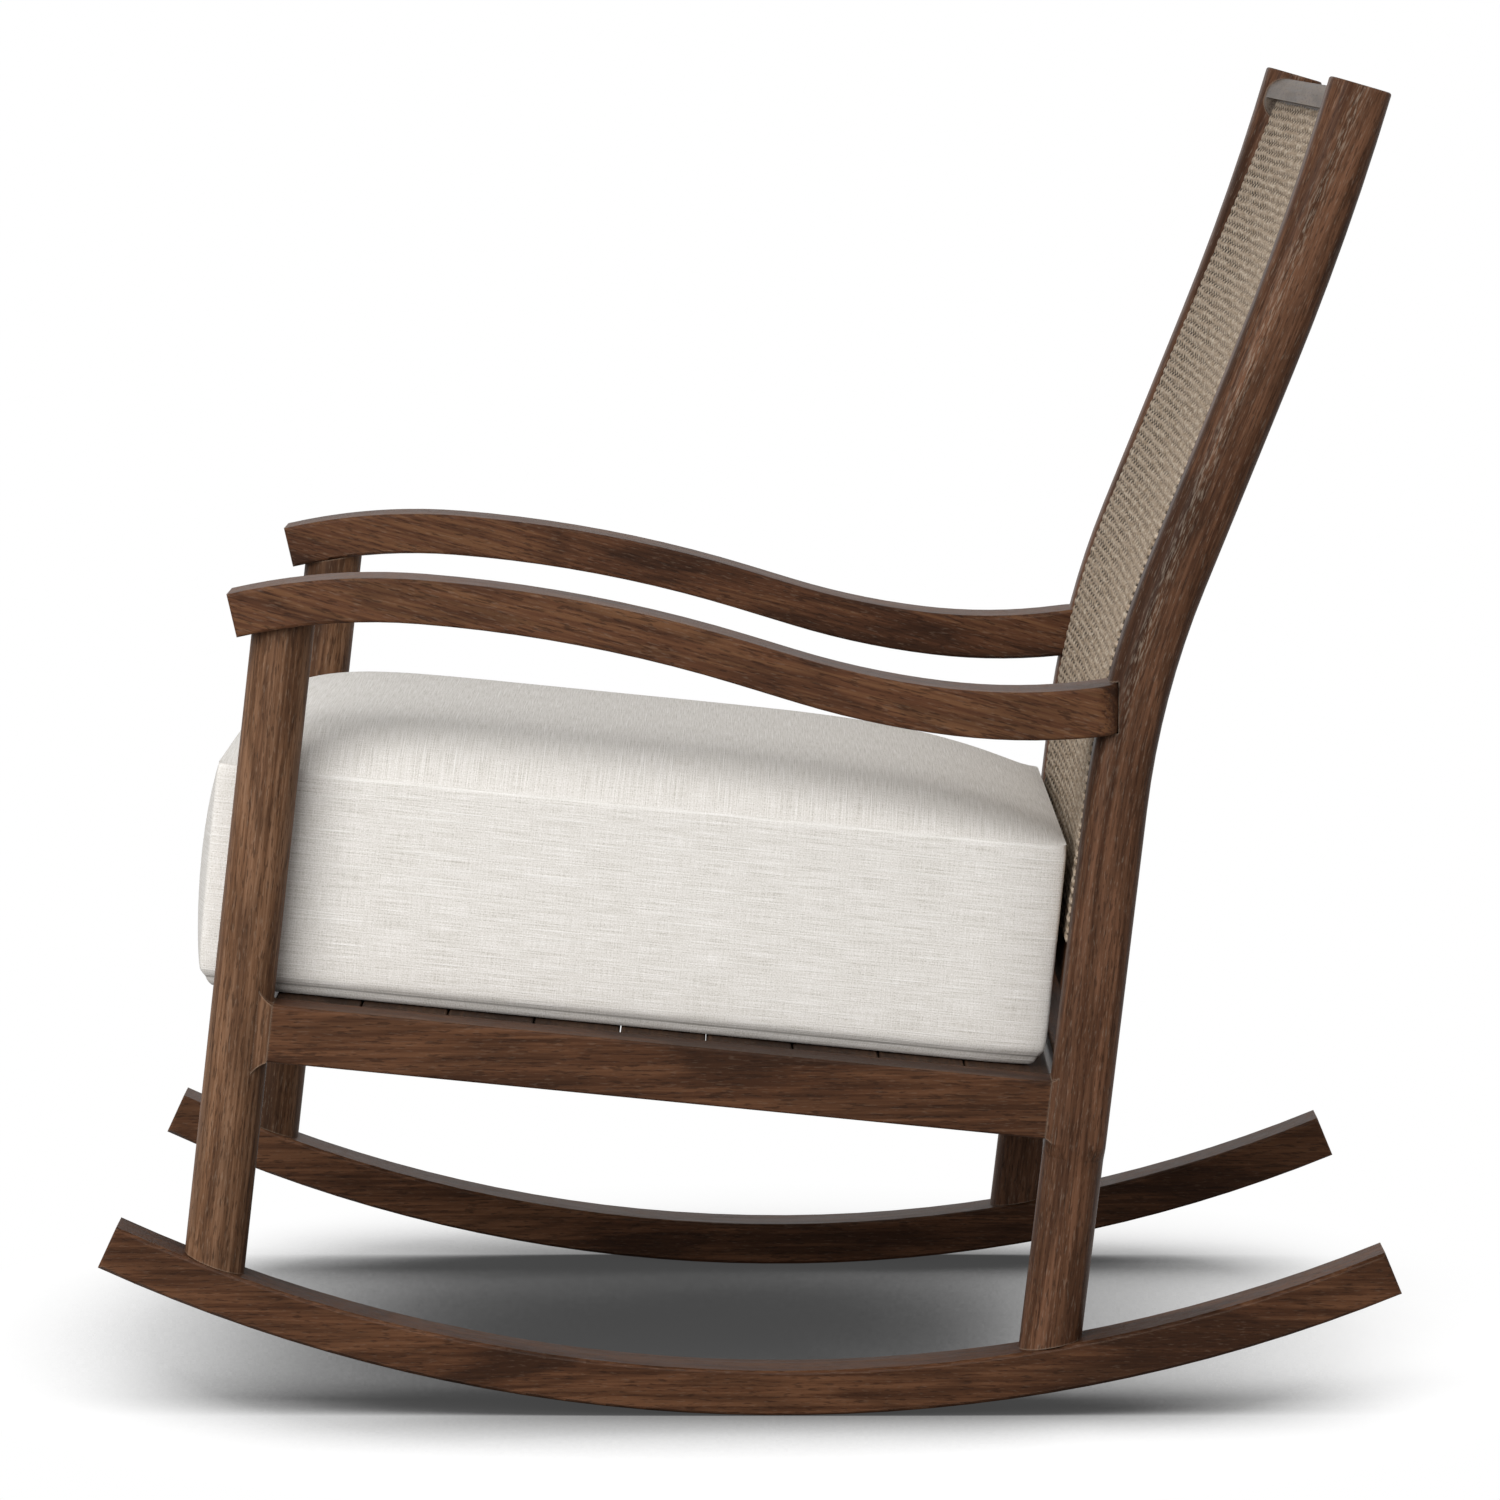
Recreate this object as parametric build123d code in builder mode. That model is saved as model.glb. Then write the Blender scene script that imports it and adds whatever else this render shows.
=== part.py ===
from build123d import *
import os
from math import asin, cos, degrees, radians, sin, tan

# Rocking chair with a loose box cushion and a woven cord back.
# Millimetres. +X is the sitter's left, -Y the front, +Z up.
# The origin is on the floor, under the middle of the chair.

# ---------------------------------------------------------------- driving dimensions
frame_width = 640.0          # over the outsides of the rockers
rocker_length = 951.0        # horizontal reach from tip to tip
rocker_radius = 1185.0       # running face
rocker_depth = 33.0
rocker_thickness = 45.0
rocker_low_y = 22.0          # where the running face touches the floor
rocker_edge = 2.5

leg_diameter = 45.0
leg_lean = 6.6               # degrees back from upright, all four legs
front_foot_inset = 83.6      # leg axis where it lands, from the rocker's front tip
rear_foot_inset = 255.7      # the same, from the back tip

post_depth = 45.0            # front to back, above the seat
post_corner = 14.0
post_straight = 399.0        # from the foot to where the post starts to bend
post_bend_radius = 650.0
back_lean = 21.8
post_run = 169.0             # straight stretch above the bend
post_top_radius = 2100.0
post_top_lean = 16.1
post_top_edge = 2.0
post_round_end = 139.0       # from the foot, the end of the round stretch
post_square_start = 150.0    # from the foot, the start of the rounded square
post_round_flat = 0.5        # half of the narrow flat on each side of the round stretch

deck_on_leg = 196.0          # from the front foot up to the seat deck
seat_pitch = 5.7             # degrees down towards the back
rail_height = 42.0
side_rail_thickness = 38.0
cross_rail_thickness = 30.0
rail_edge = 2.0
scoop_height = 19.0          # where a rail shoulder fades into the round leg
scoop_sag = 3.0
shoulder_stand = 0.4         # how far a shoulder stands out of the leg it is cut on
scoop_start = 9.0           # from the leg's middle, inside the round

arm_front_set = 18.9         # middle of the arm's front end, behind the front foot
arm_front_z = 587.5
arm_width = 58.0
arm_inset = 1.0              # inner side past the leg's inner side
arm_front_slope = 12.9       # degrees up towards the back
arm_crest_radius = 450.0
arm_crest_fall = 4.5         # degrees down, where the crest ends
arm_shoulder_radius = 1080.0
arm_fall = 17.0              # degrees down at the steepest
arm_run = 42.0
arm_valley_radius = 640.0
arm_valley_fall = 6.9        # degrees down, where the valley tightens
arm_back_radius = 450.0
arm_back_set = 46.2          # back end of the arm, behind the rear foot
arm_front_depth = 32.0
arm_thicken = 5.0            # later turn of the underside, which deepens the back end
arm_corner = 16.0            # upright rounding of the outer back corner
arm_edge = 2.5

top_rail_depth = 38.0        # front to back
top_rail_height = 34.0
top_rail_round = 15.0
top_rail_drop = 22.0         # its middle below the post's top
lower_rail_depth = 26.0
lower_rail_height = 40.0
lower_rail_round = 8.0
rail_housing = 6.0           # how far a back rail is let into a post

panel_gap = 5.0              # between the woven panel and a post
panel_forward = 8.0          # middle of the panel, in front of the post's middle
panel_lean = 22.4
panel_top_gap = 2.0          # below the top rail
panel_bottom_gap = 2.0       # above the lower rail
stile_width = 22.0
stile_depth = 24.0
batten_height = 22.0
cord_layer = 3.0             # wall of the weave
weave_edge_round = 9.0
panel_bottom_on_post = 290.0  # from the rear foot, along the post

slat_count = 9
slat_width = 62.5            # laid close, with a hairline between two slats
slat_thickness = 14.0
cleat_width = 20.0
cleat_height = 18.0
slat_start = 22.0            # first slat, behind the middle of the front legs
block_leg = 60.0
block_height = 26.0
block_clip = 9.0
cleat_clear = 1.0
slat_round = 2.0

cushion_side_gap = 5.0          # from the swell of its sides to the legs
cushion_front_overhang = 52.5   # past the middle of the front leg
cushion_back_gap = 24.5         # in front of the middle of the rear legs
cushion_thickness = 207.0
cushion_seam = 166.0            # height of the upper seam
cushion_lip = 6.6               # height of the lower seam
cushion_lip_inset = 5.0
cushion_corner = 8.0
cushion_front_bow = 11.0         # how far the front stands out past its two corners
cushion_front_swell = 16.0      # how far a side stands out between its seams
cushion_side_swell = 4.0
cushion_back_swell = 1.5
cushion_front_shoulder = 70.0   # reach of the rounded shoulder inside the upper seam
cushion_side_shoulder = 60.0
cushion_back_shoulder = 110.0
cushion_shoulder_rise = 34.5
cushion_shoulder_bow = 5.5

seat_gap = 0.1               # between faces that are glued
cushion_gap = 0.3
dowel_slack = 0.1            # radial
dowel_end_slack = 0.5
leg_dowel_radius = 7.0
leg_dowel_reach = 20.0       # into each of the two pieces
arm_dowel_radius = 5.0
arm_dowel_reach = 20.0
rail_dowel_radius = 4.0
rail_dowel_reach = 16.0
back_dowel_reach = 14.0
panel_dowel_radius = 3.0
panel_dowel_reach = 17.0
panel_pin_end = 50.0         # lowest and highest dowel, from the ends of the panel
screw_head_radius = 4.0
screw_head_height = 2.6
screw_shank_radius = 1.9
slat_screw_length = 28.0
cleat_screw_length = 36.0
block_screw_length = 60.0

# ---------------------------------------------------------------- derived frame
leg_radius = leg_diameter / 2
front_foot_y = front_foot_inset - rocker_length / 2
rear_foot_y = rocker_length / 2 - rear_foot_inset
leg_x = frame_width / 2 - rocker_thickness / 2
inner_x = leg_x - leg_radius
shoulder_reach = leg_radius + shoulder_stand
arm_front_y = front_foot_y + arm_front_set
arm_back_y = rear_foot_y + arm_back_set
rocker_top_radius = rocker_radius - rocker_depth
rocker_centre = (rocker_low_y, rocker_radius)
sides = (("left", 1), ("right", -1))
long = 2000.0                # a reach past everything, for trimming


def on_line(point, direction, distance):
    return (point[0] + direction[0] * distance, point[1] + direction[1] * distance)


def foot_z(y):
    return rocker_radius - (rocker_top_radius**2 - (y - rocker_low_y) ** 2) ** 0.5


def rise(lean):
    """Unit vector (y, z) that climbs and leans back by an angle."""
    return (sin(radians(lean)), cos(radians(lean)))


def aft(lean):
    """Unit vector (y, z) square to rise(lean), pointing back."""
    return (cos(radians(lean)), -sin(radians(lean)))


def across(x, point, lean):
    """Plane square to a leaning member: its x is +X, its y points back, its z climbs."""
    direction = rise(lean)
    return Plane(
        origin=(x, point[0], point[1]),
        x_dir=(1, 0, 0),
        z_dir=(0, direction[0], direction[1]),
    )


def beside(x, point, lean):
    """Side-view plane: its x points back, its y climbs the member, its z is +X."""
    direction = aft(lean)
    return Plane(
        origin=(x, point[0], point[1]),
        x_dir=(0, direction[0], direction[1]),
        z_dir=(1, 0, 0),
    )


front_foot = (front_foot_y, foot_z(front_foot_y))
rear_foot = (rear_foot_y, foot_z(rear_foot_y))
leg_up = rise(leg_lean)
leg_aft = aft(leg_lean)

# The seat deck is a plane through the front legs' axes that falls towards the back.
deck_up = rise(seat_pitch)
deck_aft = aft(seat_pitch)
deck_start = on_line(front_foot, leg_up, deck_on_leg)
to_rear = (rear_foot[0] - deck_start[0], rear_foot[1] - deck_start[1])
deck_depth = (to_rear[0] * leg_up[1] - to_rear[1] * leg_up[0]) / (
    deck_aft[0] * leg_up[1] - deck_aft[1] * leg_up[0]
)
deck_end = on_line(deck_start, deck_aft, deck_depth)
deck_on_post = (deck_end[1] - rear_foot[1]) / leg_up[1]
deck = Plane(
    origin=(0, deck_start[0], deck_start[1]),
    x_dir=(1, 0, 0),
    z_dir=(0, deck_up[0], deck_up[1]),
)

# Post axis: straight, bent back, straight, then a slight return towards upright.
bend_start = on_line(rear_foot, leg_up, post_straight)
bend_centre = on_line(bend_start, leg_aft, post_bend_radius)
bend_end = on_line(bend_centre, aft(back_lean), -post_bend_radius)
return_start = on_line(bend_end, rise(back_lean), post_run)
return_centre = on_line(return_start, aft(back_lean), -post_top_radius)
post_top = on_line(return_centre, aft(post_top_lean), post_top_radius)

# Arm axis: a crest over the front leg, a shoulder, a straight fall, and a valley that
# tightens towards the back end.
crest_centre = (
    arm_front_y + arm_crest_radius * sin(radians(arm_front_slope)),
    arm_front_z - arm_crest_radius * cos(radians(arm_front_slope)),
)
shoulder_centre = on_line(
    crest_centre, rise(arm_crest_fall), arm_crest_radius - arm_shoulder_radius
)
shoulder_end = on_line(shoulder_centre, rise(arm_fall), arm_shoulder_radius)
fall_end = on_line(shoulder_end, aft(arm_fall), arm_run)
valley_centre = on_line(fall_end, rise(arm_fall), arm_valley_radius)
arm_back_centre = on_line(
    valley_centre, rise(arm_valley_fall), arm_back_radius - arm_valley_radius
)
arm_x = inner_x - arm_inset + arm_width / 2
arm_under_radius = arm_crest_radius - arm_front_depth / 2

# Back rails and the woven panel between them.
top_rail_centre = on_line(post_top, rise(post_top_lean), -top_rail_drop)
panel_start = on_line(
    on_line(rear_foot, leg_up, panel_bottom_on_post), leg_aft, -panel_forward
)
panel_bend_start = on_line(bend_start, leg_aft, -panel_forward)
panel_bend_radius = post_bend_radius + panel_forward
panel_bend_end = on_line(bend_centre, aft(panel_lean), -panel_bend_radius)
panel_stop_height = (
    top_rail_centre[1] - top_rail_height / 2 * cos(radians(post_top_lean)) - panel_top_gap
)
panel_rise = (panel_stop_height - panel_bend_end[1]) / cos(radians(panel_lean))
panel_stop = on_line(panel_bend_end, rise(panel_lean), panel_rise)
panel_half_width = inner_x - panel_gap
weave_half_depth = stile_depth / 2 + cord_layer
lower_rail_centre = on_line(
    panel_start, leg_up, -lower_rail_height / 2 - panel_bottom_gap
)


# ---------------------------------------------------------------- shared operations
def trim_to_rocker():
    """Keep what is above a rocker's top face."""
    with BuildSketch(Plane.YZ) as above:
        with Locations(rocker_centre):
            Circle(rocker_top_radius - seat_gap)
    extrude(above.sketch, amount=long, both=True, mode=Mode.INTERSECT)


def shoulder(foot, x, toward, high, thickness):
    """Square shoulder on a leg for a rail's end, scooped above and below."""
    climb = Vector(0, leg_up[0], leg_up[1])
    view = Plane(origin=(x, foot[0], foot[1]), x_dir=toward, z_dir=Vector(toward).cross(climb))
    low = high - rail_height
    with BuildSketch(view) as pad:
        with BuildLine():
            Line((0, low - scoop_height), (scoop_start, low - scoop_height))
            SagittaArc((scoop_start, low - scoop_height), (shoulder_reach, low), scoop_sag)
            Line((shoulder_reach, low), (shoulder_reach, high))
            SagittaArc((shoulder_reach, high), (scoop_start, high + scoop_height), scoop_sag)
            Line((scoop_start, high + scoop_height), (0, high + scoop_height))
            Line((0, high + scoop_height), (0, low - scoop_height))
        make_face()
    extrude(pad.sketch, amount=thickness / 2, both=True)


def pins(joints, radius, reach):
    """Dowels that lie equally to both sides of their joints."""
    for joint in joints:
        with BuildSketch(joint) as section:
            Circle(radius)
        extrude(section.sketch, amount=reach, both=True)


def pin_bores(joints, radius, reach):
    for joint in joints:
        with BuildSketch(joint) as section:
            Circle(radius + dowel_slack)
        extrude(section.sketch, amount=reach + dowel_end_slack, both=True, mode=Mode.SUBTRACT)


def screws(heads, length):
    """Countersunk screws: each plane holds a head's top and faces out of the wood."""
    for head in heads:
        neck = head.offset(-screw_head_height)
        with BuildSketch(head) as rim:
            Circle(screw_head_radius)
        with BuildSketch(neck) as shank:
            Circle(screw_shank_radius)
        loft([rim.sketch, shank.sketch])
        extrude(shank.sketch, amount=screw_head_height - length)


def screw_bores(heads, length):
    for head in heads:
        neck = head.offset(-screw_head_height)
        with BuildSketch(head) as rim:
            Circle(screw_head_radius + seat_gap)
        with BuildSketch(neck) as shank:
            Circle(screw_shank_radius + seat_gap)
        loft([rim.sketch, shank.sketch], mode=Mode.SUBTRACT)
        extrude(
            shank.sketch,
            amount=screw_head_height - length - dowel_end_slack,
            mode=Mode.SUBTRACT,
        )


def arm_profile(grow):
    """Side view of an arm, grown by a clearance."""
    half = arm_front_depth / 2 + grow
    with BuildSketch(Plane.YZ) as profile:
        with BuildLine():
            fronts = []
            backs = []
            for out, run in ((half, arm_run - arm_thicken), (-half, arm_run + arm_thicken)):
                crest_size = arm_crest_radius + out
                front = on_line(crest_centre, rise(-arm_front_slope), crest_size)
                crest = JernArc(
                    front, aft(-arm_front_slope), crest_size, -arm_front_slope - arm_crest_fall
                )
                bow = JernArc(
                    crest @ 1,
                    aft(arm_crest_fall),
                    arm_shoulder_radius + out,
                    arm_crest_fall - arm_fall,
                )
                fall = Line(bow @ 1, on_line(tuple(bow @ 1), aft(arm_fall), run))
                valley = JernArc(
                    fall @ 1, aft(arm_fall), arm_valley_radius - out, arm_fall - arm_valley_fall
                )
                back_size = arm_back_radius - out
                middle = on_line(tuple(valley @ 1), rise(arm_valley_fall), back_size)
                climb = degrees(asin((arm_back_y + grow - middle[0]) / back_size))
                sweep_up = JernArc(
                    valley @ 1, aft(arm_valley_fall), back_size, arm_valley_fall + climb
                )
                fronts.append(front)
                backs.append(sweep_up @ 1)
            Line(*fronts)
            Line(*backs)
        make_face()
    return profile.sketch


def deck_plane(x, back, up, toward):
    """Plane at a spot measured along and above the deck, facing a way given on the deck."""
    outward = deck.from_local_coords(toward) - deck.origin
    return Plane(origin=deck.from_local_coords((x, back, up)), z_dir=outward)


def post_path(x):
    """Middle of a post from the top of its round stretch to its top."""
    with BuildLine(Plane.YZ.offset(x)) as path:
        Line(on_line(rear_foot, leg_up, post_square_start), bend_start)
        JernArc(bend_start, leg_up, post_bend_radius, leg_lean - back_lean)
        Line(bend_end, return_start)
        JernArc(return_start, rise(back_lean), post_top_radius, back_lean - post_top_lean)
    return path.line


def panel_path():
    with BuildLine(Plane.YZ) as path:
        Line(panel_start, panel_bend_start)
        JernArc(panel_bend_start, leg_up, panel_bend_radius, leg_lean - panel_lean)
        Line(panel_bend_end, panel_stop)
    return path.line


# ---------------------------------------------------------------- joints and fasteners
leg_span = deck_depth * cos(radians(leg_lean - seat_pitch))
from_crest = (front_foot[0] - crest_centre[0], front_foot[1] - crest_centre[1])
off_crest = from_crest[0] * leg_up[0] + from_crest[1] * leg_up[1]
leg_length = -off_crest + (
    off_crest**2 - from_crest[0] ** 2 - from_crest[1] ** 2 + arm_under_radius**2
) ** 0.5
leg_top = on_line(front_foot, leg_up, leg_length)
arm_back_z = arm_back_centre[1] - (
    arm_back_radius**2 - (arm_back_y - arm_back_centre[0]) ** 2
) ** 0.5
back_rails = (
    (top_rail_centre, post_top_lean, top_rail_depth, top_rail_height, top_rail_round),
    (lower_rail_centre, leg_lean, lower_rail_depth, lower_rail_height, lower_rail_round),
)
stile_x = panel_half_width - cord_layer - seat_gap - stile_width / 2
rail_pin_levels = (-rail_height / 4, -rail_height * 3 / 4)
seat_legs = ((front_foot, deck_on_leg, 1), (rear_foot, deck_on_post, -1))

foot_joints = {}
arm_leg_joints = {}
arm_post_joints = {}
seat_joints = {}
back_joints = {}
panel_joints = {}
panel_pins = (
    on_line(panel_start, leg_up, panel_pin_end),
    on_line(bend_centre, aft((leg_lean + panel_lean) / 2), -panel_bend_radius),
    on_line(panel_stop, rise(panel_lean), -panel_pin_end),
)
for name, side in sides:
    x = side * leg_x
    foot_joints[name] = [across(x, foot, leg_lean) for foot, level, facing in seat_legs]
    arm_leg_joints[name] = [across(x, leg_top, leg_lean)]
    arm_post_joints[name] = [
        Plane(origin=(x, arm_back_y, arm_back_z), x_dir=(1, 0, 0), z_dir=(0, 1, 0))
    ]
    seat_joints[name] = []
    for foot, level, facing in seat_legs:
        for drop in rail_pin_levels:
            spot = on_line(foot, leg_up, level + drop)
            face = on_line(spot, leg_aft, facing * leg_radius)
            seat_joints[name].append(
                Plane(
                    origin=(x, face[0], face[1]),
                    x_dir=(1, 0, 0),
                    z_dir=(0, leg_aft[0], leg_aft[1]),
                )
            )
            seat_joints[name].append(
                Plane(origin=(side * inner_x, spot[0], spot[1]), z_dir=(1, 0, 0))
            )
    back_joints[name] = [
        Plane(origin=(side * (inner_x + rail_housing), spot[0], spot[1]), z_dir=(1, 0, 0))
        for spot in (top_rail_centre, lower_rail_centre)
    ]
    panel_joints[name] = [
        Plane(origin=(side * (inner_x - panel_gap / 2), spot[0], spot[1]), z_dir=(1, 0, 0))
        for spot in panel_pins
    ]

rail_inner_x = leg_x - side_rail_thickness / 2
slat_reach = rail_inner_x - seat_gap
slat_pitch = (deck_depth - 2 * slat_start - slat_width) / (slat_count - 1)
slat_rows = [slat_start + slat_width / 2 + slat_pitch * row for row in range(slat_count)]
cleat_x = rail_inner_x - seat_gap - cleat_width / 2
cleat_start = cross_rail_thickness / 2 + block_leg + cleat_clear
cleat_level = -slat_thickness - seat_gap - cleat_height / 2
slat_heads = {}
cleat_heads = {}
block_heads = {}
block_corners = {}
corner_back = cross_rail_thickness / 2 + seat_gap
for name, side in sides:
    slat_heads[name] = [
        deck_plane(side * cleat_x, row, -seat_gap, (0, 0, 1)) for row in slat_rows
    ]
    cleat_heads[name] = [
        deck_plane(
            side * (cleat_x - cleat_width / 2), row + slat_pitch / 2, cleat_level, (-side, 0, 0)
        )
        for row in slat_rows[1:-2:2]
    ]
    block_corners[name] = ((corner_back, 1), (deck_depth - corner_back, -1))
    block_heads[name] = [
        deck_plane(
            side * (slat_reach - block_leg / 2),
            back + facing * block_leg / 2,
            -rail_height / 2,
            (-side, facing, 0),
        )
        for back, facing in block_corners[name]
    ]
os.makedirs("parts", exist_ok=True)

# ---------------------------------------------------------------- side frames
for name, side in sides:
    x = side * leg_x

    with BuildPart() as rocker:
        tips = (-rocker_length / 2, rocker_length / 2)
        front_turn = asin((tips[0] - rocker_low_y) / rocker_radius)
        rear_turn = asin((tips[1] - rocker_low_y) / rocker_radius)
        spread = degrees(rear_turn - front_turn)
        with BuildSketch(Plane.YZ.offset(x)):
            with BuildLine():
                low_tip = on_line(
                    rocker_centre, (sin(front_turn), -cos(front_turn)), rocker_radius
                )
                high_tip = on_line(
                    rocker_centre, (sin(front_turn), -cos(front_turn)), rocker_top_radius
                )
                heading = (cos(front_turn), sin(front_turn))
                running = JernArc(low_tip, heading, rocker_radius, spread)
                upper = JernArc(high_tip, heading, rocker_top_radius, spread)
                Line(running @ 0, upper @ 0)
                Line(running @ 1, upper @ 1)
            make_face()
        extrude(amount=rocker_thickness / 2, both=True)
        fillet(rocker.faces().filter_by(Axis.X).edges(), rocker_edge)
        pin_bores(foot_joints[name], leg_dowel_radius, leg_dowel_reach)
    rocker.part.label = f"{name}_rocker"
    export_step(rocker.part, f"parts/{name}_rocker.step")

    with BuildPart() as leg:
        with BuildSketch(across(x, on_line(front_foot, leg_up, -rocker_depth), leg_lean)):
            Circle(leg_radius)
        extrude(amount=leg_length + 2 * rocker_depth)
        shoulder(front_foot, x, (0, leg_aft[0], leg_aft[1]), deck_on_leg, side_rail_thickness)
        shoulder(front_foot, x, (-side, 0, 0), deck_on_leg, cross_rail_thickness)
        trim_to_rocker()
        with BuildSketch(Plane.YZ) as under_arm:
            with Locations(crest_centre):
                Circle(arm_under_radius - seat_gap)
        extrude(under_arm.sketch, amount=long, both=True, mode=Mode.INTERSECT)
        pin_bores(foot_joints[name][:1], leg_dowel_radius, leg_dowel_reach)
        pin_bores(arm_leg_joints[name], arm_dowel_radius, arm_dowel_reach)
        pin_bores(seat_joints[name][:4], rail_dowel_radius, rail_dowel_reach)
        screw_bores(block_heads[name][:1], block_screw_length)
    leg.part.label = f"{name}_front_leg"
    export_step(leg.part, f"parts/{name}_front_leg.step")

    with BuildPart() as post:
        with BuildSketch(across(x, on_line(rear_foot, leg_up, post_round_end), leg_lean)) as low:
            RectangleRounded(leg_diameter, post_depth, leg_radius - post_round_flat)
        extrude(low.sketch, amount=-rocker_depth - post_round_end)
        start = across(x, on_line(rear_foot, leg_up, post_square_start), leg_lean)
        with BuildSketch(start) as square:
            RectangleRounded(leg_diameter, post_depth, post_corner)
        loft([low.sketch, square.sketch])
        sweep(square.sketch, path=post_path(x))
        fillet(post.faces().sort_by(Axis.Z)[-1].edges(), post_top_edge)
        shoulder(rear_foot, x, (0, -leg_aft[0], -leg_aft[1]), deck_on_post, side_rail_thickness)
        shoulder(rear_foot, x, (-side, 0, 0), deck_on_post, cross_rail_thickness)
        trim_to_rocker()
        extrude(arm_profile(seat_gap), amount=long, both=True, mode=Mode.SUBTRACT)
        for spot, lean, deep, high, corner in back_rails:
            with BuildSketch(beside(side * (inner_x - seat_gap), spot, lean)) as housing:
                RectangleRounded(deep + 2 * seat_gap, high + 2 * seat_gap, corner)
            extrude(
                housing.sketch, amount=side * (rail_housing + 2 * seat_gap), mode=Mode.SUBTRACT
            )
        pin_bores(foot_joints[name][1:], leg_dowel_radius, leg_dowel_reach)
        pin_bores(arm_post_joints[name], arm_dowel_radius, arm_dowel_reach)
        pin_bores(seat_joints[name][4:], rail_dowel_radius, rail_dowel_reach)
        pin_bores(back_joints[name], rail_dowel_radius, back_dowel_reach)
        pin_bores(panel_joints[name], panel_dowel_radius, panel_dowel_reach)
        screw_bores(block_heads[name][1:], block_screw_length)
    post.part.label = f"{name}_back_post"
    export_step(post.part, f"parts/{name}_back_post.step")

    with BuildPart() as arm:
        profile = arm_profile(0).moved(Location((side * arm_x, 0, 0)))
        extrude(profile, amount=arm_width / 2, both=True)
        outer = arm.edges().filter_by(Axis.Z).sort_by(Axis.X)[-1 if side > 0 else 0]
        fillet(outer, arm_corner)
        long_edges = arm.faces().filter_by(Axis.X).edges().filter_by(Axis.Z, reverse=True)
        fillet(long_edges, arm_edge)
        pin_bores(arm_leg_joints[name], arm_dowel_radius, arm_dowel_reach)
        pin_bores(arm_post_joints[name], arm_dowel_radius, arm_dowel_reach)
    arm.part.label = f"{name}_arm"
    export_step(arm.part, f"parts/{name}_arm.step")

    with BuildPart() as side_rail:
        with BuildSketch(beside(x, deck_start, seat_pitch)) as band:
            with Locations((deck_depth / 2, -rail_height / 2)):
                Rectangle(deck_depth, rail_height)
        extrude(band.sketch, amount=side_rail_thickness / 2, both=True)
        fillet(side_rail.edges().group_by(SortBy.LENGTH)[-1], rail_edge)
        with BuildSketch(beside(x, deck_start, leg_lean)) as between:
            with Locations((leg_span / 2, 0)):
                Rectangle(leg_span - 2 * (shoulder_reach + seat_gap), long)
        extrude(between.sketch, amount=side_rail_thickness, both=True, mode=Mode.INTERSECT)
        pin_bores(seat_joints[name], rail_dowel_radius, rail_dowel_reach)
        screw_bores(cleat_heads[name], cleat_screw_length)
    side_rail.part.label = f"{name}_side_rail"
    export_step(side_rail.part, f"parts/{name}_side_rail.step")

    with BuildPart() as cleat:
        with BuildSketch(deck.offset(-slat_thickness - seat_gap)) as strip:
            with Locations((side * cleat_x, deck_depth / 2)):
                Rectangle(cleat_width, deck_depth - 2 * cleat_start)
        extrude(strip.sketch, amount=-cleat_height)
        screw_bores(slat_heads[name][1:-1], slat_screw_length)
        screw_bores(cleat_heads[name], cleat_screw_length)
    cleat.part.label = f"{name}_seat_cleat"
    export_step(cleat.part, f"parts/{name}_seat_cleat.step")

    with BuildPart() as stile:
        foot_plane = across(0, panel_start, leg_lean)
        with BuildSketch(foot_plane) as section:
            with Locations((side * stile_x, 0)):
                Rectangle(stile_width, stile_depth)
        sweep(section.sketch, path=panel_path())
        pin_bores(panel_joints[name], panel_dowel_radius, panel_dowel_reach)
    stile.part.label = f"{name}_panel_stile"
    export_step(stile.part, f"parts/{name}_panel_stile.step")

# ---------------------------------------------------------------- cross rails
for label, leg_index, spot in (
    ("front_seat_rail", slice(0, 4), deck_start),
    ("rear_seat_rail", slice(4, 8), deck_end),
):
    with BuildPart() as cross_rail:
        with BuildSketch(beside(0, spot, seat_pitch)) as section:
            with Locations((0, -rail_height / 2)):
                RectangleRounded(cross_rail_thickness, rail_height, rail_edge)
        extrude(section.sketch, amount=leg_x - shoulder_reach - seat_gap, both=True)
        for name, side in sides:
            pin_bores(seat_joints[name][leg_index], rail_dowel_radius, rail_dowel_reach)
    cross_rail.part.label = label
    export_step(cross_rail.part, f"parts/{label}.step")

for label, (spot, lean, deep, high, corner) in zip(("top_back_rail", "lower_back_rail"), back_rails):
    with BuildPart() as back_rail:
        with BuildSketch(beside(0, spot, lean)) as section:
            RectangleRounded(deep, high, corner)
        extrude(section.sketch, amount=inner_x + rail_housing, both=True)
        for name, side in sides:
            pin_bores(back_joints[name], rail_dowel_radius, back_dowel_reach)
    back_rail.part.label = label
    export_step(back_rail.part, f"parts/{label}.step")

# ---------------------------------------------------------------- woven panel
for label, spot, lean, reach in (
    ("panel_bottom_batten", panel_start, leg_lean, batten_height),
    ("panel_top_batten", panel_stop, panel_lean, -batten_height),
):
    with BuildPart() as batten:
        with BuildSketch(across(0, spot, lean)) as section:
            Rectangle(2 * (stile_x - stile_width / 2 - seat_gap), stile_depth)
        extrude(section.sketch, amount=reach)
    batten.part.label = label
    export_step(batten.part, f"parts/{label}.step")

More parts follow.
